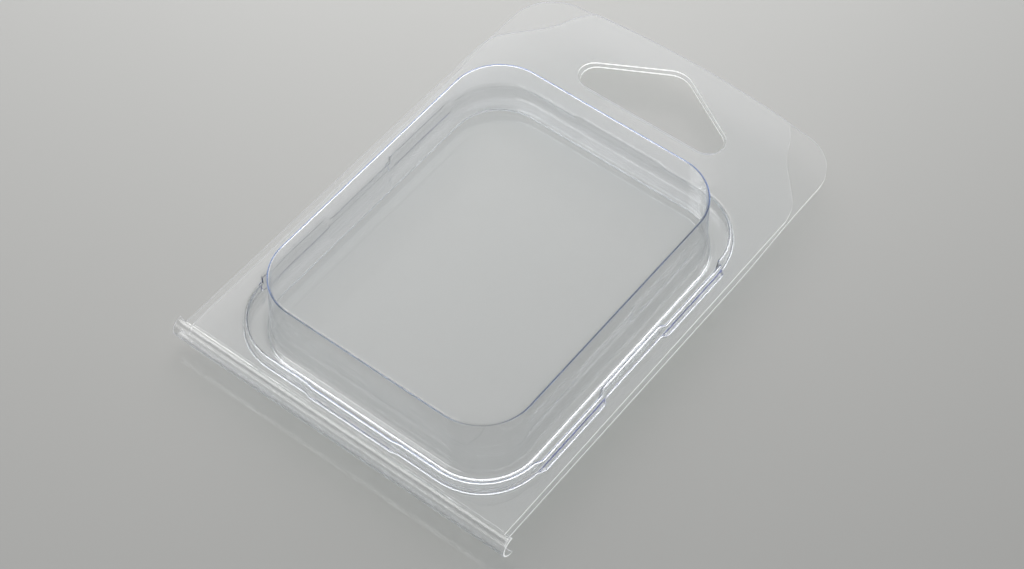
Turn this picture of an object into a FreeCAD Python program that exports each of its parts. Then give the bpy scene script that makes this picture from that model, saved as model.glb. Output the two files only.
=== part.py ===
import FreeCAD, Part
import math
import os

# A hinged clear blister pack: two thermoformed shells that fold together on one
# living hinge. The back shell is a shallow tray that rests on its flat bottom. The
# front shell is its lid: a tall dome, a groove round the dome that plugs into the
# tray's mouth, and a wide flange with a hang hole.
# Millimetres. +X runs along the hinge, +Y from the hinge to the hang hole, +Z up.
# The origin is under the middle of the pack, on the surface that it rests on.
# Section and outline dimensions are measured from the middle of the cavity.

Vector = FreeCAD.Vector

# sheet
SHEET = 0.3                 # wall of the formed sheet

# heights of the upper face of each level
DOME_Z = 18.1               # front face of the dome
FRONT_Z = 6.66              # front flange
GROOVE_Z = 3.14             # floor of the groove round the dome
BACK_Z = 4.06               # back flange beside the cavity
HEADER_Z = 5.66             # back flange round the hang hole
LEDGE_Z = 2.42              # ledge in the tray, just under the groove

# cavity: half width, half length and corner radius
DOME_TOP = (29.8, 37.8, 11.2)
DOME_FOOT = (29.95, 37.95, 10.6)
TRAY_TOP = (30.8, 38.8, 12.1)
TRAY_BOTTOM = (30.7, 38.7, 12.0)
DOME_BEND = 0.52            # outer radius of the bend round the front face
TRAY_BEND = 0.7             # outer radius of the bend round the tray's bottom

# snap ring: inner faces of the groove's outer wall and of the tray's mouth
GROOVE = (33.2, 41.66, 12.5)
MOUTH = (33.9, 42.3, 13.1)
GROOVE_LUG = (0.88, 0.34)   # how far its lugs stand out, on long and short sides
MOUTH_LUG = (0.9, 0.4)
GROOVE_LUG_Z = 4.9          # where they start: the feet of both walls run straight
MOUTH_LUG_Z = 3.1
LONG_LUG = (10.3, 28.6)     # where a lug starts and ends along a long side
SHORT_LUG = 9.9             # half the length of the one lug on a short side
LUG_SLOPE = 1.2             # length of a lug's sloping end
RING_BEND = 0.6             # outer radius under the ring

# hinge: a half tube that joins the two flanges
HINGE_R = 2.28              # outer radius
HINGE_Y = -45.52            # where it meets the flanges
HINGE_HALF = 40.1
HEEL = 1.8                  # length of the bend that lifts the back flange off the tube

# flanges
FLANGE_HALF = 38.5
WAVE = ((38.35, 45.2), (37.3, 49.0), (34.8, 52.3), (30.7, 57.0),
        (28.5, 60.5), (27.2, 63.4), (24.6, 66.9))
FRONT_END = 68.3            # far edge of the front flange at its middle
BACK_CORNER = (28.0, 56.6, 10.5)   # centre and radius of the back flange's corner
BACK_END = 69.0
HEADER_RISE = (26.0, 52.0)  # where the back flange rises to its header

# hang hole: half base, base height, apex height, base radius, apex radius
FRONT_HOLE = (28.0, 49.3, 65.3, 3.64, 5.2)
BACK_HOLE = (27.2, 49.6, 64.9, 3.5, 5.2)

HINGE_Z = FRONT_Z - HINGE_R
CAVITY_Y = -(BACK_END + HINGE_Y - HINGE_R) / 2
OVER = 1.0                  # how far a cutting tool runs past what it cuts
NEAR = 0.1                  # the same, for places that a fillet or a bow has moved a little
CLOSE = 1e-4                # how near two heights or places are when they are the same


def ring_wire(size, z):
    """A rounded rectangle round the middle of the cavity."""
    half_w, half_l, radius = size
    edges = []
    points = []
    for turn in range(4):
        start = turn * math.pi / 2
        sx = (1, -1, -1, 1)[turn]
        sy = (1, 1, -1, -1)[turn]
        centre = Vector(sx * (half_w - radius), sy * (half_l - radius), z)
        arc = [centre + Vector(radius * math.cos(start + a), radius * math.sin(start + a), 0)
               for a in (0, math.pi / 4, math.pi / 2)]
        edges.append(Part.Arc(*arc).toShape())
        points.append((arc[0], arc[2]))
    for turn in range(4):
        edges.append(Part.makeLine(points[turn][1], points[(turn + 1) % 4][0]))
    return Part.Wire(Part.__sortEdges__(edges))


def block(low, low_z, high, high_z):
    """A solid between two rounded rectangles."""
    return Part.makeLoft([ring_wire(low, low_z), ring_wire(high, high_z)], True, True)


def edges_at(shape, z):
    """The edges that lie at one height."""
    return [e for e in shape.Edges
            if abs(e.BoundBox.ZMin - z) < CLOSE and abs(e.BoundBox.ZMax - z) < CLOSE]


def polygon(points, z, height):
    """A prism on a closed line of points."""
    line = [Vector(x, y, z) for x, y in points]
    return Part.Face(Part.makePolygon(line + line[:1])).extrude(Vector(0, 0, height))


def grown(size, by):
    """A rounded rectangle's numbers, moved outwards."""
    return tuple(value + by for value in size)


def snap_ring(size, lug, lug_z, by, low_z, high_z):
    """The body inside a snap ring, moved outwards by a wall, with its six lugs."""
    half_w, half_l, _ = grown(size, by)
    body = block(grown(size, by), low_z, grown(size, by), high_z)
    if by > 0:
        body = body.makeFillet(RING_BEND, edges_at(body, low_z))
    lug_z -= by
    height = high_z - lug_z
    for sx in (1, -1):
        for sy in (1, -1):
            near, far = LONG_LUG[0] - by, LONG_LUG[1] + by
            side = [(half_w - OVER, near - LUG_SLOPE), (half_w, near - LUG_SLOPE),
                    (half_w + lug[0], near), (half_w + lug[0], far),
                    (half_w, far + LUG_SLOPE), (half_w - OVER, far + LUG_SLOPE)]
            body = body.fuse(polygon([(sx * x, sy * y) for x, y in side], lug_z, height))
    for sy in (1, -1):
        half = SHORT_LUG + by
        side = [(-half - LUG_SLOPE, half_l - OVER), (-half - LUG_SLOPE, half_l),
                (-half, half_l + lug[1]), (half, half_l + lug[1]),
                (half + LUG_SLOPE, half_l), (half + LUG_SLOPE, half_l - OVER)]
        body = body.fuse(polygon([(x, sy * y) for x, y in side], lug_z, height))
    return body.removeSplitter()


def hang_hole(size):
    """A rounded triangle right through both flanges."""
    half, base, apex, base_r, apex_r = size
    hole = polygon([(-half, base), (half, base), (0, apex)], -OVER, DOME_Z)
    for y, radius in ((base, base_r), (apex, apex_r)):
        corners = [e for e in hole.Edges if e.BoundBox.ZLength > OVER
                   and abs(e.BoundBox.Center.y - y) < NEAR]
        hole = hole.makeFillet(radius, corners)
    return hole


def slab(edges, low_z, height):
    """A prism on a closed outline of edges."""
    wire = Part.Wire(Part.__sortEdges__(edges))
    prism = Part.Face(wire).extrude(Vector(0, 0, height))
    prism.translate(Vector(0, 0, low_z))
    return prism


def front_outline():
    """Straight sides, a waved finger cut at each far corner, a bowed far edge."""
    edges = []
    side_y = WAVE[0][1]
    for sx in (1, -1):
        wave = Part.BSplineCurve()
        wave.interpolate([Vector(sx * x, y, 0) for x, y in WAVE])
        edges.append(wave.toShape())
        edges.append(Part.makeLine(Vector(sx * FLANGE_HALF, HINGE_Y, 0),
                                   Vector(sx * WAVE[0][0], side_y, 0)))
    end_x, end_y = WAVE[-1]
    edges.append(Part.Arc(Vector(-end_x, end_y, 0), Vector(0, FRONT_END, 0),
                          Vector(end_x, end_y, 0)).toShape())
    edges.append(Part.makeLine(Vector(-FLANGE_HALF, HINGE_Y, 0),
                               Vector(FLANGE_HALF, HINGE_Y, 0)))
    return edges


def back_outline():
    """Straight sides, round far corners, a bowed far edge."""
    x, y, radius = BACK_CORNER
    slant = radius * math.sqrt(0.5)
    edges = []
    for sx in (1, -1):
        edges.append(Part.Arc(Vector(sx * (x + radius), y, 0),
                              Vector(sx * (x + slant), y + slant, 0),
                              Vector(sx * x, y + radius, 0)).toShape())
        edges.append(Part.makeLine(Vector(sx * FLANGE_HALF, HINGE_Y, 0),
                                   Vector(sx * (x + radius), y, 0)))
    edges.append(Part.Arc(Vector(-x, y + radius, 0), Vector(0, BACK_END, 0),
                          Vector(x, y + radius, 0)).toShape())
    edges.append(Part.makeLine(Vector(-FLANGE_HALF, HINGE_Y, 0),
                               Vector(FLANGE_HALF, HINGE_Y, 0)))
    return edges


def rise(start, end, offset):
    """Two arcs that lift a line from start to end, both level, moved up by offset."""
    run, lift = end[0] - start[0], end[1] - start[1]
    radius = (run ** 2 + lift ** 2) / (4 * lift)
    angle = math.asin(run / (2 * radius))
    if run ** 2 < lift ** 2:
        angle = math.pi - angle
    arcs = []
    for centre_z, centre_y, r, flip in ((start[1] + radius, start[0], radius - offset, -1),
                                        (end[1] - radius, end[0], radius + offset, 1)):
        turns = (0, angle / 2, angle)
        points = [Vector(0, centre_y - flip * r * math.sin(t), centre_z + flip * r * math.cos(t))
                  for t in turns]
        arcs.append(Part.Arc(*points).toShape())
    return arcs


def back_line(offset):
    """The back flange's underside from hinge to far end, moved up by offset."""
    heel = (HINGE_Y, HINGE_Z - HINGE_R)
    level = (HINGE_Y + HEEL, BACK_Z - SHEET)
    foot = (HEADER_RISE[0], BACK_Z - SHEET)
    header = (HEADER_RISE[1], HEADER_Z - SHEET)
    end = (BACK_END + OVER, HEADER_Z - SHEET)
    flats = [Part.makeLine(Vector(0, a[0], a[1] + offset), Vector(0, b[0], b[1] + offset))
             for a, b in ((level, foot), (header, end))]
    return rise(heel, level, offset) + flats + rise(foot, header, offset)


def across(edges):
    """Extrude a profile from side to side, wider than the pack."""
    wire = Part.Wire(Part.__sortEdges__(edges))
    width = 2 * (FLANGE_HALF + OVER)
    body = Part.Face(wire).extrude(Vector(width, 0, 0))
    body.translate(Vector(-width / 2, 0, 0))
    return body


def closed_line(lower, upper, low_y, low_zs, high_y, high_zs):
    """Close two profile lines with an upright at each end."""
    ends = [Part.makeLine(Vector(0, y, zs[0]), Vector(0, y, zs[1]))
            for y, zs in ((low_y, low_zs), (high_y, high_zs))]
    return lower + upper + ends


def front_shell():
    """The lid: flange, groove and dome from one sheet."""
    dome = block(DOME_FOOT, GROOVE_Z - SHEET, DOME_TOP, DOME_Z)
    dome = dome.makeFillet(DOME_BEND, edges_at(dome, DOME_Z))
    hollow = block(grown(DOME_FOOT, -SHEET), GROOVE_Z - SHEET - OVER,
                   grown(DOME_TOP, -SHEET), DOME_Z - SHEET)
    hollow = hollow.makeFillet(DOME_BEND - SHEET, edges_at(hollow, DOME_Z - SHEET))
    flange = slab(front_outline(), FRONT_Z - SHEET, SHEET)
    plug = snap_ring(GROOVE, GROOVE_LUG, GROOVE_LUG_Z, SHEET, GROOVE_Z - SHEET, FRONT_Z)
    groove = snap_ring(GROOVE, GROOVE_LUG, GROOVE_LUG_Z, 0, GROOVE_Z, FRONT_Z + OVER)
    shell = flange.fuse(plug).cut(groove.cut(dome)).fuse(dome).cut(hollow)
    return shell.cut(hang_hole(FRONT_HOLE)).removeSplitter()


def slab_below(z):
    """Everything from under the pack up to one height."""
    reach = 2 * (BACK_END + OVER)
    return Part.makeBox(reach, reach, z + OVER, Vector(-reach / 2, -reach / 2, -OVER))


def back_shell():
    """The base: flange, mouth, ledge and tray from one sheet."""
    low, high = BACK_Z - SHEET, HEADER_Z - SHEET
    heel = HINGE_Z - HINGE_R
    far = BACK_END + OVER
    sheet = across(closed_line(back_line(0), back_line(SHEET), HINGE_Y,
                               (heel, heel + SHEET), far, (high, high + SHEET)))
    flange = sheet.common(slab(back_outline(), -OVER, DOME_Z))
    under = across(closed_line([Part.makeLine(Vector(0, HINGE_Y, -OVER), Vector(0, far, -OVER))],
                               back_line(SHEET), HINGE_Y, (-OVER, heel + SHEET),
                               far, (-OVER, high + SHEET)))
    mouth = snap_ring(MOUTH, MOUTH_LUG, MOUTH_LUG_Z, SHEET, LEDGE_Z - SHEET, DOME_Z).common(under)
    mouth_hollow = snap_ring(MOUTH, MOUTH_LUG, MOUTH_LUG_Z, 0, LEDGE_Z, DOME_Z)
    tray = block(TRAY_BOTTOM, 0, TRAY_TOP, low)
    tray = tray.makeFillet(TRAY_BEND, edges_at(tray, 0))
    hollow = block(grown(TRAY_BOTTOM, -SHEET), SHEET, grown(TRAY_TOP, -SHEET), low)
    hollow = hollow.makeFillet(TRAY_BEND - SHEET, edges_at(hollow, SHEET))
    shell = flange.fuse(mouth).cut(mouth_hollow)
    ledge = tray.common(slab_below(LEDGE_Z))
    shell = shell.fuse(ledge).cut(hollow)
    return shell.cut(hang_hole(BACK_HOLE)).removeSplitter()


def living_hinge():
    """The half tube between the two flanges."""
    ends = []
    for r in (HINGE_R, HINGE_R - SHEET):
        ends.append([Vector(0, HINGE_Y, HINGE_Z + r), Vector(0, HINGE_Y - r, HINGE_Z),
                     Vector(0, HINGE_Y, HINGE_Z - r)])
    edges = [Part.Arc(*points).toShape() for points in ends]
    edges += [Part.makeLine(ends[0][i], ends[1][i]) for i in (0, 2)]
    tube = Part.Face(Part.Wire(Part.__sortEdges__(edges))).extrude(Vector(2 * HINGE_HALF, 0, 0))
    tube.translate(Vector(-HINGE_HALF, 0, 0))
    return tube


os.makedirs("parts", exist_ok=True)
for name, make in (("front_shell", front_shell), ("back_shell", back_shell),
                   ("living_hinge", living_hinge)):
    piece = make()
    piece.translate(Vector(0, CAVITY_Y, 0))
    if len(piece.Solids) == 1:
        piece = piece.Solids[0]
    box = piece.BoundBox
    print(name, "solids", len(piece.Solids), "valid", piece.isValid(),
          "volume", round(piece.Volume, 1),
          "x %.2f %.2f y %.2f %.2f z %.2f %.2f" % (box.XMin, box.XMax, box.YMin, box.YMax,
                                                   box.ZMin, box.ZMax))
    piece.exportStep("parts/" + name + ".step")
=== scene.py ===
import math

import bmesh
import bpy
import numpy as np
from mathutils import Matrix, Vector, geometry


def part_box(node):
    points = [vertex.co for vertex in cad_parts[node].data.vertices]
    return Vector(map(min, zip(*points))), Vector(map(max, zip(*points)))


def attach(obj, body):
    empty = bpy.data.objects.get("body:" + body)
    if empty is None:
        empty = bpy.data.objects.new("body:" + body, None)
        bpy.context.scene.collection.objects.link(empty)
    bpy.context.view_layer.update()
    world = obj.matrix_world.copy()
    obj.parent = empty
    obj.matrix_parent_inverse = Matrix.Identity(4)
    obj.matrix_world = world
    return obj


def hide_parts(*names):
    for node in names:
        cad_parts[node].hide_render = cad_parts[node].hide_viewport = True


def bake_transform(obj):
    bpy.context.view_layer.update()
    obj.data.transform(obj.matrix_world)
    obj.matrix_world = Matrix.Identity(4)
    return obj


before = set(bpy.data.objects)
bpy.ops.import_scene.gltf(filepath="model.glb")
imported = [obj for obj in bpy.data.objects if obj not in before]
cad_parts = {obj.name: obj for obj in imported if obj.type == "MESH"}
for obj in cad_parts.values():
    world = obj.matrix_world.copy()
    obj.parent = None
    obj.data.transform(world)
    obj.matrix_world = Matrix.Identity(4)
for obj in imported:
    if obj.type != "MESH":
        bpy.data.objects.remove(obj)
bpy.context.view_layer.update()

# A hinged clear blister pack, closed and empty, lying on its tray.
# Shapes are worked out in millimetres round the middle of the cavity, and are moved
# to the frame's place in metres when a mesh is made.

MM = 0.001


def node_box(name):
    """A node's lowest and highest corners in millimetres."""
    return [Vector(corner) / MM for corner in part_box(name)]


FRONT_LOW, FRONT_HIGH = node_box("front_shell")
BACK_LOW, BACK_HIGH = node_box("back_shell")
BEAD_LOW, BEAD_HIGH = node_box("living_hinge")

# sheet, and the height of the upper face of each level
SHEET = 0.3
DOME_Z = FRONT_HIGH.z
FRONT_Z = BEAD_HIGH.z
GROOVE_Z = FRONT_LOW.z + SHEET
BACK_Z = 4.06
HEADER_Z = BACK_HIGH.z
LEDGE_Z = 2.42
FLOOR_Z = SHEET

# cavity: half width, half length and corner radius of each rounded rectangle
DOME_TOP = (29.8, 37.8, 11.2)
DOME_FOOT = (29.95, 37.95, 10.6)
TRAY_TOP = (30.5, 38.5, 11.8)
TRAY_BOTTOM = (30.4, 38.4, 11.7)
GROOVE = (33.2, 41.66, 12.5)
MOUTH = (33.9, 42.3, 13.1)

# radii of the bends: round the face, at a wall's foot, at the ring, round the floor,
# and from the tray's wall to its ledge
DOME_BEND = 0.5
FOOT_BEND = 0.65
RING_BEND = 0.7
TRAY_BEND = 0.4
STEP_BEND = 1.6

# snap lugs: how far they stand out on long and short sides, where they start and end
# along a long side, half their length on a short side, and the length of a sloping end
GROOVE_LUG = (0.88, 0.34)
MOUTH_LUG = (0.9, 0.4)
LONG_LUG = (10.3, 28.6)
SHORT_LUG = 9.9
LUG_SLOPE = 1.2
GROOVE_LUG_Z = (3.9, 5.9)      # heights between which the groove's lugs swell out

# hinge: where its bead meets the flanges, and the bend that lifts the back flange off it
HINGE_TO_CAVITY = 45.52
CAVITY_Y = BEAD_HIGH.y + HINGE_TO_CAVITY
HINGE_Y = -HINGE_TO_CAVITY
HINGE_R = (BEAD_HIGH.z - BEAD_LOW.z) / 2
HINGE_Z = (BEAD_HIGH.z + BEAD_LOW.z) / 2
JOIN_Y = BEAD_HIGH.y * MM      # the same place in the frame, in metres
JOIN_GAP = 0.03 * MM           # how near to it a face belongs to the join
BEAD_FLARE = 0.12              # growth of the bead's radius at its very ends
HEEL = 1.8
HEEL_Z = BEAD_LOW.z + SHEET

# flanges: half width, the wavy side beside the hang hole, ends, corner, and hang holes as
# half width, base, apex, and the fillets at the base and the apex
FLANGE_HALF = 38.5
WAVE = ((38.35, 45.2), (37.3, 49.0), (34.8, 52.3), (30.7, 57.0),
        (28.5, 60.5), (27.2, 63.4), (24.6, 66.9))
FRONT_END = FRONT_HIGH.y - CAVITY_Y
BACK_END = BACK_HIGH.y - CAVITY_Y
BACK_CORNER = (28.0, 56.6, 10.5)
HEADER_RISE = (26.0, 52.0)     # where the back flange rises to its header
FRONT_HOLE = (28.0, 49.3, 65.3, 3.64, 5.2)
BACK_HOLE = (27.2, 49.6, 64.9, 3.5, 5.2)

# mesh steps
STEP = 0.7                     # along an outline
CORNER_STEPS = 22
BEND_STEPS = 6
HEEL_STEPS = 12
BEAD_CUTS = 121                # grid points along the bead
BEAD_TURNS = 25                # and round it
GRID = 2.0                     # spacing inside a flat patch
RIM_GAP = 0.72                 # how far a patch's own points stay from its rims
SMALLEST_AREA = 1e-4           # of a patch's triangle, in square millimetres
WELD = 0.002                   # points nearer than this are one
SHARP_ANGLE = 40               # degrees between faces that aren't shaded as one

# lamps: place, target, size in metres and power in watts
WINDOW = ((-0.40, 0.42, 0.20), (0, 0, 0), (0.56, 0.22), 1.35)
BOUNCE = ((-0.15, 0.20, 0.20), (-0.03, 0.04, 0), (0.22, 0.22), 0.66)
LOW_CARD = ((-0.399, -0.529, 0.352), (0, 0, 0), (0.5, 0.3), 0.75)
HIGH_CARD = ((-0.26, -0.07, 0.645), (0, 0, 0), (0.28, 0.28), 0.75)

# the bright part of the room: azimuth, elevation and reach in degrees, and the strength
# of the light outside it and at its middle
ROOM_AZIMUTH = 152
ROOM_ELEVATION = 29
ROOM_REACH = 60
ROOM_DIM = 0.24
ROOM_BRIGHT = 1.23

# table, and the camera's place from the middle of the cavity and its turns in degrees
TABLE_REACH = 3.0
TABLE_DROP = -0.03 * MM        # so that the tray's floor and the table don't share a plane
LENS = 84.73
EYE = (176.14, -221.43, 379.41)
EYE_TURNS = (36.86, -0.06, 37.776)

# how often a ray may pass the thin walls: each one is two surfaces
CLEAR_BOUNCES = 32
PATH_BOUNCES = 64


def linear(code):
    """An sRGB hex colour as linear values."""
    channels = [int(code[i:i + 2], 16) / 255 for i in (1, 3, 5)]
    return tuple(c / 12.92 if c <= 0.04045 else ((c + 0.055) / 1.055) ** 2.4
                 for c in channels) + (1.0,)


# ---------------------------------------------------------------- outlines

def ramp(value, start, end):
    """0 before start, 1 after end, and two arcs in between."""
    t = min(max((value - start) / (end - start), 0.0), 1.0)
    return 2 * t * t if t < 0.5 else 1 - 2 * (1 - t) ** 2


def lug_at(x, y, nx, ny, lug):
    """How far a snap ring stands out at one point of its outline."""
    if abs(nx) > 0.999:
        near, far = LONG_LUG
        rise = ramp(abs(y), near - LUG_SLOPE, near) * (1 - ramp(abs(y), far, far + LUG_SLOPE))
        return lug[0] * rise
    if abs(ny) > 0.999:
        return lug[1] * (1 - ramp(abs(x), SHORT_LUG, SHORT_LUG + LUG_SLOPE))
    return 0.0


def ring(size, lug=(0.0, 0.0)):
    """A rounded rectangle, the same number of points whatever its size."""
    half_w, half_l, radius = size
    long_steps = round(2 * (DOME_TOP[1] - DOME_TOP[2]) / STEP)
    short_steps = round(2 * (DOME_TOP[0] - DOME_TOP[2]) / STEP)
    points = []
    for side in range(4):
        turn = side * math.pi / 2
        nx, ny = round(math.cos(turn)), round(math.sin(turn))
        out, along = (half_w, half_l) if side % 2 == 0 else (half_l, half_w)
        reach = along - radius
        steps = long_steps if side % 2 == 0 else short_steps
        for i in range(steps):
            t = -reach + 2 * reach * i / steps
            x, y = nx * out - ny * t, ny * out + nx * t
            push = lug_at(x, y, nx, ny, lug)
            points.append((x + nx * push, y + ny * push))
        cx, cy = nx * (out - radius) - ny * reach, ny * (out - radius) + nx * reach
        for i in range(CORNER_STEPS):
            a = turn + math.pi / 2 * i / CORNER_STEPS
            points.append((cx + radius * math.cos(a), cy + radius * math.sin(a)))
    return points


def grown(size, by):
    """A rounded rectangle's numbers, moved outwards."""
    return tuple(value + by for value in size)


def bend(size, level, radius, side, up):
    """Sizes and heights round a bend between a level and an upright wall at size.

    side is -1 where the level lies inside the wall and 1 outside; up is 1 where the
    wall goes up from the level and -1 where it goes down."""
    angles = [math.pi / 2 * i / BEND_STEPS for i in range(BEND_STEPS + 1)]
    if side > 0:
        angles.reverse()
    return [(grown(size, side * radius * (1 - math.sin(a))),
             level + up * radius * (1 - math.cos(a))) for a in angles]


def rounded(corners, steps=8):
    """A polygon of (x, y, fillet radius) corners, with its corners rounded."""
    points = []
    for i, (x, y, radius) in enumerate(corners):
        here = Vector((x, y))
        before = (Vector(corners[i - 1][:2]) - here).normalized()
        after = (Vector(corners[(i + 1) % len(corners)][:2]) - here).normalized()
        half = before.angle(after) / 2
        centre = here + (before + after).normalized() * radius / math.sin(half)
        start = (here + before * radius / math.tan(half) - centre).normalized()
        end = (here + after * radius / math.tan(half) - centre).normalized()
        for k in range(steps + 1):
            points.append(tuple(centre + start.slerp(end, k / steps) * radius))
    return points


def hang_hole(size):
    """A rounded triangle, its base towards the cavity."""
    half, base, apex, base_r, apex_r = size
    return rounded([(-half, base, base_r), (half, base, base_r), (0, apex, apex_r)])


def through(points, steps=8):
    """A smooth line through points."""
    ends = [points[0]] + list(points) + [points[-1]]
    line = []
    for i in range(1, len(ends) - 2):
        p0, p1, p2, p3 = (Vector(p) for p in ends[i - 1:i + 3])
        square, cube = 2 * p0 - 5 * p1 + 4 * p2 - p3, 3 * p1 - p0 - 3 * p2 + p3
        for k in range(steps):
            t = k / steps
            line.append(tuple(0.5 * (2 * p1 + (p2 - p0) * t + square * t ** 2 + cube * t ** 3)))
    return line + [tuple(points[-1])]


def straight(start, end):
    """Evenly spaced points from start up to, but not including, end."""
    a, b = Vector(start), Vector(end)
    steps = max(1, round((b - a).length / STEP))
    return [tuple(a.lerp(b, i / steps)) for i in range(steps)]


def bowed(x, y, crest):
    """The far edge from (x, y) to (-x, y), bowed out to crest."""
    steps = round(2 * x / STEP)
    places = [x - 2 * x * i / steps for i in range(1, steps)]
    return [(px, crest - (crest - y) * (px / x) ** 2) for px in places]


def mirrored(right):
    """The same line on the left side, run backwards."""
    return [(-x, y) for x, y in reversed(right)]


def front_outline():
    """The front flange's rim, from the end of the bead."""
    side = straight((FLANGE_HALF, HINGE_Y), WAVE[0]) + through(WAVE)
    return side + bowed(*WAVE[-1], FRONT_END) + mirrored(side) + cross_line(HINGE_Y)[1:-1]


def back_outline():
    """The back flange's rim, from the end of its heel."""
    x, y, radius = BACK_CORNER
    start = HINGE_Y + HEEL
    turns = [math.pi / 2 * i / CORNER_STEPS for i in range(CORNER_STEPS + 1)]
    side = straight((FLANGE_HALF, start), (x + radius, y)) \
        + [(x + radius * math.cos(a), y + radius * math.sin(a)) for a in turns]
    return side + bowed(x, y + radius, BACK_END) + mirrored(side) + cross_line(start)[1:-1]


def cross_line(y):
    """A line from side to side of the flange."""
    return straight((-FLANGE_HALF, y), (FLANGE_HALF, y)) + [(FLANGE_HALF, y)]


# ---------------------------------------------------------------- meshes

def inside(points, loop):
    """Which points lie in a closed loop."""
    p = np.asarray(points)
    a = np.asarray(loop)
    b = np.roll(a, -1, axis=0)
    spans = (a[:, 1] > p[:, 1:2]) != (b[:, 1] > p[:, 1:2])
    rise = np.where(b[:, 1] == a[:, 1], 1.0, b[:, 1] - a[:, 1])
    crossing = (b[:, 0] - a[:, 0]) * (p[:, 1:2] - a[:, 1]) / rise + a[:, 0]
    return (spans & (p[:, 0:1] < crossing)).sum(axis=1) % 2 == 1


def fill(outline, holes):
    """Triangles between an outline and its holes, with an even grid between them."""
    loops = [outline] + holes
    points = [p for loop in loops for p in loop]
    edges = []
    first = 0
    for loop in loops:
        edges += [(first + i, first + (i + 1) % len(loop)) for i in range(len(loop))]
        first += len(loop)
    low, high = np.min(outline, axis=0), np.max(outline, axis=0)
    # rows of an even triangular grid lie closer together than its points in a row
    row = GRID * math.sqrt(0.75)
    columns, rows = ((high - low) / (GRID, row)).astype(int) + 2
    grid = np.array([(low[0] + (i + 0.5 * (j % 2)) * GRID, low[1] + j * row)
                     for j in range(rows) for i in range(columns)])
    good = inside(grid, outline)
    for hole in holes:
        good &= ~inside(grid, hole)
    rim = np.array(points)
    gap = np.array([np.min(np.hypot(*(rim - p).T)) for p in grid])
    grid = grid[good & (gap > RIM_GAP)]
    points = [Vector(p) for p in points] + [Vector(p) for p in grid]
    verts, _, faces, *_ = geometry.delaunay_2d_cdt(points, edges, [], 0, 1e-5)
    centres = np.array([sum((verts[i] for i in face), Vector((0, 0))) / len(face)
                        for face in faces])
    used = inside(centres, outline)
    for hole in holes:
        used &= ~inside(centres, hole)
    used &= np.array([geometry.area_tri(*(verts[i].to_3d() for i in face)) > SMALLEST_AREA
                      for face in faces])
    return [tuple(v) for v in verts], [face for face, ok in zip(faces, used) if ok]


def open_sheet(name, rings, patches, rows=()):
    """One surface from rings, patches and rows of points: its upper face only."""
    mesh = bmesh.new()
    loops = [[mesh.verts.new(p) for p in loop] for loop in rings]
    for inner, outer in zip(loops, loops[1:]):
        count = len(inner)
        for i in range(count):
            j = (i + 1) % count
            mesh.faces.new((inner[i], outer[i], outer[j], inner[j]))
    lines = [[mesh.verts.new(p) for p in row] for row in rows]
    for low, high in zip(lines, lines[1:]):
        for i in range(len(low) - 1):
            mesh.faces.new((low[i], low[i + 1], high[i + 1], high[i]))
    for (points, faces), height in patches:
        verts = [mesh.verts.new((x, y, height(x, y))) for x, y in points]
        for face in faces:
            mesh.faces.new([verts[i] for i in face])
    bmesh.ops.remove_doubles(mesh, verts=mesh.verts, dist=WELD)
    bmesh.ops.recalc_face_normals(mesh, faces=mesh.faces)
    level = max(mesh.faces, key=lambda f: f.calc_area() * abs(f.normal.z))
    if level.normal.z < 0:
        bmesh.ops.reverse_faces(mesh, faces=mesh.faces)
    for v in mesh.verts:
        v.co = Vector((v.co.x, v.co.y + CAVITY_Y, v.co.z)) * MM
    data = bpy.data.meshes.new(name)
    mesh.to_mesh(data)
    mesh.free()
    piece = bpy.data.objects.new(name, data)
    bpy.context.scene.collection.objects.link(piece)
    return piece


def formed(piece, finishes, body, node):
    """Gives an open surface the sheet's thickness, downwards, and its finish."""
    for finish in finishes:
        piece.data.materials.append(finish)
    wall = piece.modifiers.new("wall", "SOLIDIFY")
    wall.thickness = SHEET * MM
    wall.offset = -1
    wall.use_even_offset = True
    wall.material_offset_rim = 1
    made = bpy.data.meshes.new_from_object(
        piece.evaluated_get(bpy.context.evaluated_depsgraph_get()))
    piece.modifiers.clear()
    piece.data = made
    # the sheet runs on from the flanges into the hinge, so it has no cut rim there
    for face in made.polygons:
        if abs(face.center.y - JOIN_Y) < JOIN_GAP:
            face.material_index = 0
    made.shade_smooth()
    made.set_sharp_from_angle(angle=math.radians(SHARP_ANGLE))
    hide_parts(node)
    if body:
        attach(piece, body)
    return piece


# ---------------------------------------------------------------- pieces

def placed(profile, lug=(0.0, 0.0)):
    """Rings in space from sizes and heights."""
    return [[(x, y, z) for x, y in ring(size, lug)] for size, z in profile]


def level(z):
    """The height of a flat patch, the same everywhere."""
    return lambda x, y: z


def back_height(x, y):
    """The back flange: a heel off the bead, level, then a rise to the header."""
    if y < HINGE_Y + HEEL:
        return HEEL_Z + (BACK_Z - HEEL_Z) * ramp(y, HINGE_Y, HINGE_Y + HEEL)
    return BACK_Z + (HEADER_Z - BACK_Z) * ramp(y, *HEADER_RISE)


def front_shell(finishes):
    """The lid: flange, plug groove with its lugs, and dome."""
    dome = bend(DOME_TOP, DOME_Z, DOME_BEND, -1, -1)
    foot = bend(DOME_FOOT, GROOVE_Z, FOOT_BEND, 1, 1)
    rise = bend(GROOVE, GROOVE_Z, FOOT_BEND, -1, 1)
    lip = bend(GROOVE, FRONT_Z, RING_BEND, 1, -1)
    low, high = GROOVE_LUG_Z
    rings = placed(dome + foot + rise + [(GROOVE, low)])
    rings += placed([(GROOVE, high)] + lip, GROOVE_LUG)
    edge = [(x, y) for x, y, z in rings[-1]]
    patches = [(fill([(x, y) for x, y, z in rings[0]], []), level(DOME_Z)),
               (fill(front_outline(), [edge, hang_hole(FRONT_HOLE)]), level(FRONT_Z))]
    return formed(open_sheet("clear_lid", rings, patches), finishes, "lid", "front_shell")


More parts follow.
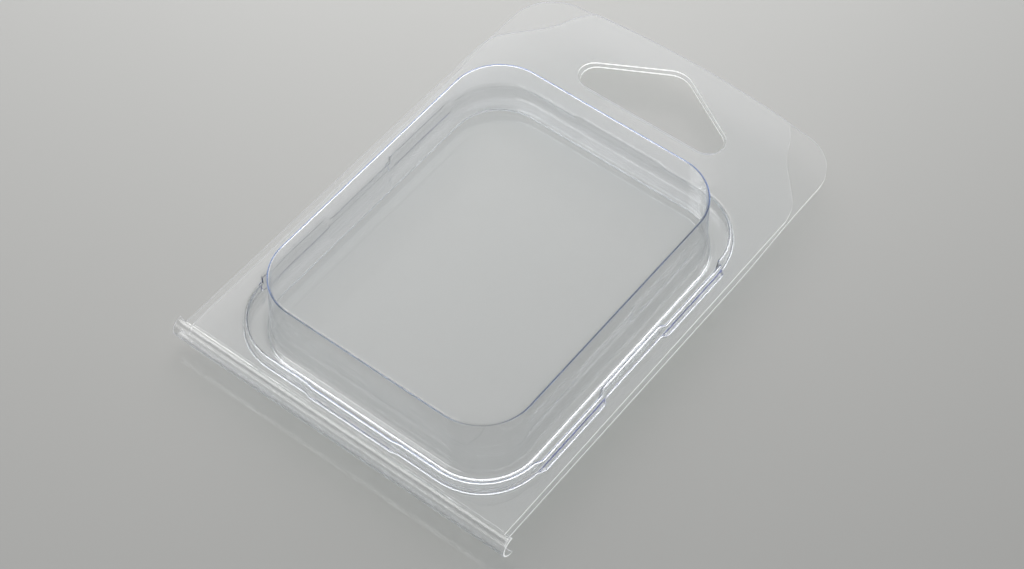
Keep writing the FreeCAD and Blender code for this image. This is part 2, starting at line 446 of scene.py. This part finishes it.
def back_shell(finishes):
    """The base: tray, ledge, mouth with its lugs, and flange."""
    floor = bend(TRAY_BOTTOM, FLOOR_Z, TRAY_BEND, -1, 1)
    step = bend(TRAY_TOP, LEDGE_Z, STEP_BEND, 1, -1)
    rise = bend(MOUTH, LEDGE_Z, FOOT_BEND, -1, 1)
    rings = placed(floor + step + rise)
    for size, drop in bend(MOUTH, 0.0, RING_BEND, 1, -1):
        rings.append([(x, y, back_height(x, y) + drop) for x, y in ring(size, MOUTH_LUG)])
    edge = [(x, y) for x, y, z in rings[-1]]
    patches = [(fill([(x, y) for x, y, z in rings[0]], []), level(FLOOR_Z)),
               (fill(back_outline(), [edge, hang_hole(BACK_HOLE)]), back_height)]
    heel = [HINGE_Y + HEEL * i / HEEL_STEPS for i in range(HEEL_STEPS + 1)]
    rows = [[(x, y, back_height(x, y)) for x, y in cross_line(place)] for place in heel]
    return formed(open_sheet("clear_tray", rings, patches, rows), finishes, "base", "back_shell")


def add(tree, kind, links=None, **settings):
    """A node with its settings; links maps its inputs to sockets, first outputs or values."""
    node = tree.nodes.new(kind)
    for key, value in settings.items():
        setattr(node, key, value)
    for key, value in (links or {}).items():
        if isinstance(value, bpy.types.Node):
            value = value.outputs[0]
        if isinstance(value, bpy.types.NodeSocket):
            tree.links.new(value, node.inputs[key])
        else:
            node.inputs[key].default_value = value
    return node


def bead_tree(finish):
    """A half tube along X from a flat grid, with named sizes; its ends flare a little."""
    tree = bpy.data.node_groups.new("rolled bead", "GeometryNodeTree")
    for name in ("Radius", "Half Length", "Half Flange", "Flare", "Place Y", "Place Z"):
        tree.interface.new_socket(name=name, in_out="INPUT", socket_type="NodeSocketFloat")
    tree.interface.new_socket(name="Geometry", in_out="OUTPUT", socket_type="NodeSocketGeometry")
    sizes = add(tree, "NodeGroupInput").outputs

    length = add(tree, "ShaderNodeMath", {0: sizes["Half Length"], 1: 2.0}, operation="MULTIPLY")
    grid = add(tree, "GeometryNodeMeshGrid", {"Size X": length, "Size Y": math.pi,
                                              "Vertices X": BEAD_CUTS, "Vertices Y": BEAD_TURNS})
    flat = add(tree, "ShaderNodeSeparateXYZ", {0: add(tree, "GeometryNodeInputPosition")}).outputs
    # past the flange the radius grows with the square of the way to the end
    out = add(tree, "ShaderNodeMath", {0: flat["X"]}, operation="ABSOLUTE")
    past = add(tree, "ShaderNodeMath", {0: out, 1: sizes["Half Flange"]}, operation="SUBTRACT")
    reach = add(tree, "ShaderNodeMath", {0: sizes["Half Length"], 1: sizes["Half Flange"]},
                operation="SUBTRACT")
    share = add(tree, "ShaderNodeMath", {0: past, 1: reach}, operation="DIVIDE", use_clamp=True)
    square = add(tree, "ShaderNodeMath", {0: share, 1: share}, operation="MULTIPLY")
    growth = add(tree, "ShaderNodeMath", {0: square, 1: sizes["Flare"]}, operation="MULTIPLY")
    spread = add(tree, "ShaderNodeMath", {0: sizes["Radius"], 1: growth}, operation="MULTIPLY")
    radius = add(tree, "ShaderNodeMath", {0: sizes["Radius"], 1: spread}, operation="ADD")
    # round from the high edge, out past the hinge, to the low edge
    turn = add(tree, "ShaderNodeMath", {0: math.pi, 1: flat["Y"]}, operation="SUBTRACT")
    cosine = add(tree, "ShaderNodeMath", {0: turn}, operation="COSINE")
    sine = add(tree, "ShaderNodeMath", {0: turn}, operation="SINE")
    inward = add(tree, "ShaderNodeMath", {0: spread, 1: sizes["Place Y"]}, operation="ADD")
    y = add(tree, "ShaderNodeMath", {0: radius, 1: cosine, 2: inward}, operation="MULTIPLY_ADD")
    z = add(tree, "ShaderNodeMath", {0: radius, 1: sine, 2: sizes["Place Z"]},
            operation="MULTIPLY_ADD")
    rolled = add(tree, "ShaderNodeCombineXYZ", {"X": flat["X"], "Y": y, "Z": z})
    shaped = add(tree, "GeometryNodeSetPosition", {"Geometry": grid, "Position": rolled})
    real = add(tree, "GeometryNodeRealizeInstances", {"Geometry": shaped})
    done = add(tree, "GeometryNodeSetMaterial", {"Geometry": real, "Material": finish})
    add(tree, "NodeGroupOutput", {"Geometry": done})
    return tree


def bead(finishes):
    """The rolled hinge between the flanges, from the low edge round to the high edge."""
    piece = bpy.data.objects.new("hinge_bead", bpy.data.meshes.new("hinge_bead"))
    bpy.context.scene.collection.objects.link(piece)
    roll = piece.modifiers.new("roll", "NODES")
    roll.node_group = bead_tree(finishes[0])
    sizes = {"Radius": HINGE_R * MM, "Half Length": BEAD_HIGH.x * MM,
             "Half Flange": FLANGE_HALF * MM, "Flare": BEAD_FLARE,
             "Place Y": JOIN_Y, "Place Z": HINGE_Z * MM}
    for item in roll.node_group.interface.items_tree:
        if item.in_out == "INPUT":
            roll[item.identifier] = sizes[item.name]
    plain = bpy.data.meshes.new_from_object(
        piece.evaluated_get(bpy.context.evaluated_depsgraph_get()))
    piece.modifiers.clear()
    plain.materials.clear()
    piece.data = plain
    formed(piece, finishes, None, "living_hinge")
    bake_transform(piece)
    return piece


# ---------------------------------------------------------------- finishes

def finish_tree(name):
    """A new material, and its empty node tree."""
    material = bpy.data.materials.new(name)
    material.use_nodes = True
    material.node_tree.nodes.clear()
    return material, material.node_tree


def clear_pet(name, smooth, hazy, ripples):
    """Clear PET sheet, with its lowest and highest roughness and its ripples' strength."""
    material, tree = finish_tree(name)
    place = add(tree, "ShaderNodeTexCoord")
    ripple = add(tree, "ShaderNodeTexNoise", {"Vector": place.outputs["Object"], "Scale": 110.0,
                                              "Detail": 2.0, "Roughness": 0.45})
    relief = add(tree, "ShaderNodeBump", {"Height": ripple.outputs["Fac"], "Strength": ripples,
                                          "Distance": 0.0004})
    haze = add(tree, "ShaderNodeTexNoise", {"Vector": place.outputs["Object"], "Scale": 60.0,
                                            "Detail": 4.0})
    rough = add(tree, "ShaderNodeMapRange", {"Value": haze.outputs["Fac"], "From Min": 0.35,
                                             "From Max": 0.7, "To Min": smooth, "To Max": hazy})
    sheet = add(tree, "ShaderNodeBsdfPrincipled", {
        "Base Color": linear("#fefefe"), "Roughness": rough.outputs["Result"], "IOR": 1.57,
        "Transmission Weight": 1.0, "Normal": relief.outputs["Normal"]})
    # straight through for shadows and soft light, and where the sheet runs on at the join
    light = add(tree, "ShaderNodeLightPath")
    shade = add(tree, "ShaderNodeBsdfTransparent", {"Color": linear("#fdfdfc")})
    passes = add(tree, "ShaderNodeMath", {0: light.outputs["Is Shadow Ray"],
                                          1: light.outputs["Is Diffuse Ray"]}, operation="MAXIMUM")
    where = add(tree, "ShaderNodeSeparateXYZ", {"Vector": place.outputs["Object"]})
    joined = add(tree, "ShaderNodeMath", {0: where.outputs["Y"], 1: JOIN_Y, 2: JOIN_GAP},
                 operation="COMPARE")
    clear = add(tree, "ShaderNodeMath", {0: passes.outputs["Value"], 1: joined.outputs["Value"]},
                operation="MAXIMUM")
    mix = add(tree, "ShaderNodeMixShader", {"Fac": clear.outputs["Value"],
                                            1: sheet.outputs["BSDF"], 2: shade.outputs["BSDF"]})
    # a view along the sheet turns grey blue
    body = add(tree, "ShaderNodeVolumeAbsorption", {"Color": (0.12, 0.42, 0.88, 1.0),
                                                    "Density": 60.0})
    add(tree, "ShaderNodeOutputMaterial", {"Surface": mix.outputs["Shader"],
                                           "Volume": body.outputs["Volume"]})
    return material


def cut_edge_with_painted_glow():
    """The die-cut rim of the sheet: torn a little, so it scatters light, with a painted glow added
    so that it shows white.
    """
    material, tree = finish_tree("cut PET edge, painted glow")
    place = add(tree, "ShaderNodeTexCoord")
    tears = add(tree, "ShaderNodeTexNoise", {"Vector": place.outputs["Object"], "Scale": 900.0,
                                             "Detail": 3.0})
    relief = add(tree, "ShaderNodeBump", {"Height": tears.outputs["Fac"], "Strength": 0.5,
                                          "Distance": 0.0002})
    front = add(tree, "ShaderNodeBsdfDiffuse", {"Color": linear("#fafbfc"),
                                                "Normal": relief.outputs["Normal"]})
    back = add(tree, "ShaderNodeBsdfTranslucent", {"Color": linear("#fafbfc"),
                                                   "Normal": relief.outputs["Normal"]})
    both = add(tree, "ShaderNodeMixShader", {"Fac": 0.5, 1: front.outputs["BSDF"],
                                             2: back.outputs["BSDF"]})
    # painted glow: an emission stands in for light carried inside the sheet out to its rim, and
    # glows whether lit or not
    painted_rim_glow = add(tree, "ShaderNodeEmission", {"Color": linear("#fbfdff"), "Strength": 0.4})
    total = add(tree, "ShaderNodeAddShader", {0: both.outputs["Shader"],
                                              1: painted_rim_glow.outputs["Emission"]})
    add(tree, "ShaderNodeOutputMaterial", {"Surface": total.outputs["Shader"]})
    return material


def table_finish():
    """A pale laminate table, smooth enough to mirror faintly."""
    material, tree = finish_tree("pale laminate")
    top = add(tree, "ShaderNodeBsdfPrincipled", {
        "Base Color": linear("#b7b8b8"), "Roughness": 0.3, "IOR": 1.45, "Coat Weight": 1.0,
        "Coat Roughness": 0.02, "Coat IOR": 1.5})
    add(tree, "ShaderNodeOutputMaterial", {"Surface": top.outputs["BSDF"]})
    return material


# ---------------------------------------------------------------- studio

def table():
    data = bpy.data.meshes.new("table")
    data.from_pydata([(x * TABLE_REACH, y * TABLE_REACH, TABLE_DROP)
                      for x, y in ((-1, -1), (1, -1), (1, 1), (-1, 1))], [], [(0, 1, 2, 3)])
    floor = bpy.data.objects.new("table", data)
    data.materials.append(table_finish())
    bpy.context.scene.collection.objects.link(floor)


def lamp(name, place, target, size, power):
    data = bpy.data.lights.new(name, "AREA")
    data.shape = "RECTANGLE"
    data.size, data.size_y = size
    data.energy = power
    data.color = linear("#fffefc")[:3]
    lit = bpy.data.objects.new(name, data)
    lit.location = place
    lit.rotation_euler = (Vector(target) - Vector(place)).to_track_quat("-Z", "Y").to_euler()
    bpy.context.scene.collection.objects.link(lit)
    return lit


def room():
    """A dim room with one soft round bright part."""
    world = bpy.data.worlds.new("studio")
    world.use_nodes = True
    tree = world.node_tree
    az, el = math.radians(ROOM_AZIMUTH), math.radians(ROOM_ELEVATION)
    aim = Vector((math.cos(az) * math.cos(el), math.sin(az) * math.cos(el), math.sin(el)))
    place = add(tree, "ShaderNodeTexCoord")
    toward = add(tree, "ShaderNodeVectorMath", {0: place.outputs["Generated"], 1: aim},
                 operation="DOT_PRODUCT")
    patch = add(tree, "ShaderNodeMapRange", {
        "Value": toward.outputs["Value"], "From Min": math.cos(math.radians(ROOM_REACH)),
        "From Max": 1.0, "To Min": ROOM_DIM, "To Max": ROOM_BRIGHT},
        interpolation_type="SMOOTHSTEP")
    back = tree.nodes["Background"]
    back.inputs["Color"].default_value = linear("#fcfbf8")
    tree.links.new(patch.outputs["Result"], back.inputs["Strength"])
    return world


def studio(pieces):
    scene = bpy.context.scene
    scene.view_settings.view_transform = "Standard"
    scene.world = room()
    lamp("window", *WINDOW)
    bounce = lamp("bounce", *BOUNCE)
    bounce.visible_glossy = False
    bounce.visible_transmission = False
    # two cards that only the pack mirrors: the table doesn't show them
    reached = bpy.data.collections.new("mirrors the cards")
    for piece in pieces:
        reached.objects.link(piece)
    for card in (lamp("low card", *LOW_CARD), lamp("high card", *HIGH_CARD)):
        card.visible_diffuse = False
        card.light_linking.receiver_collection = reached
    scene.cycles.transparent_max_bounces = CLEAR_BOUNCES
    scene.cycles.transmission_bounces = PATH_BOUNCES
    scene.cycles.glossy_bounces = PATH_BOUNCES
    scene.cycles.max_bounces = PATH_BOUNCES


def camera():
    data = bpy.data.cameras.new("camera")
    data.lens = LENS
    data.sensor_width = 36.0
    eye = bpy.data.objects.new("camera", data)
    eye.location = (Vector(EYE) + Vector((0, CAVITY_Y, 0))) * MM
    eye.rotation_euler = [math.radians(turn) for turn in EYE_TURNS]
    bpy.context.scene.collection.objects.link(eye)
    bpy.context.scene.camera = eye


camera()
# the rim's finish carries a painted glow, an emission that stands in for light leaving the cut
# edge
rim = cut_edge_with_painted_glow()
sheet_finishes = (clear_pet("clear PET, thermoformed", 0.01, 0.03, 0.008), rim)
hinge_finishes = (clear_pet("clear PET, hazy where it is creased", 0.13, 0.18, 0.0), rim)
pieces = [front_shell(sheet_finishes), back_shell(sheet_finishes), bead(hinge_finishes)]
table()
studio(pieces)
